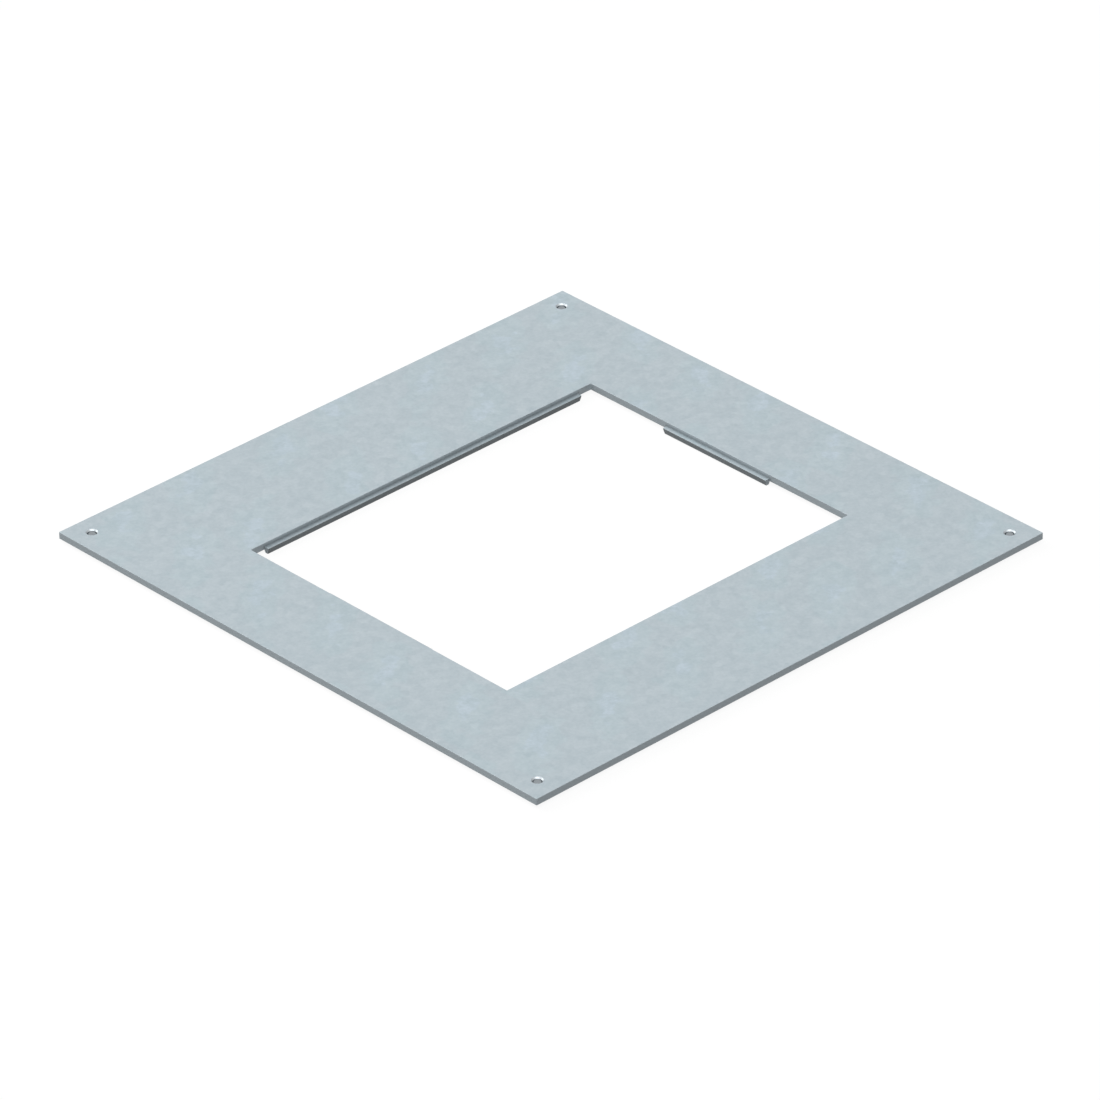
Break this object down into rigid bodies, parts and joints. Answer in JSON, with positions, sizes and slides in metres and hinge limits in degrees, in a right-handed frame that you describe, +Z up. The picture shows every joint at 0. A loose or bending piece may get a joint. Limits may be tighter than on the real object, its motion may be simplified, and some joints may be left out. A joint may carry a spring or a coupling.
{
  "type": "floor box cover",
  "caption": "Square galvanised steel cover plate for a floor box, with a rectangular device opening, recessed support ledges and countersunk corner screw holes.",
  "frame": {"origin": "under the middle of the cover, on the plane of the ledges' feet", "axes": "+Z up out of the floor through the cover's top face, X along the long side of the opening, Y along its short side"},
  "size_m": [0.383, 0.383, 0.0065],
  "materials": {
    "galvanised_sheet": "strip-galvanised steel sheet, matt grey with faint cloudy mottling"
  },
  "bodies": {
    "root": {"cover_plate": "galvanised_sheet"}
  },
  "joints": []
}
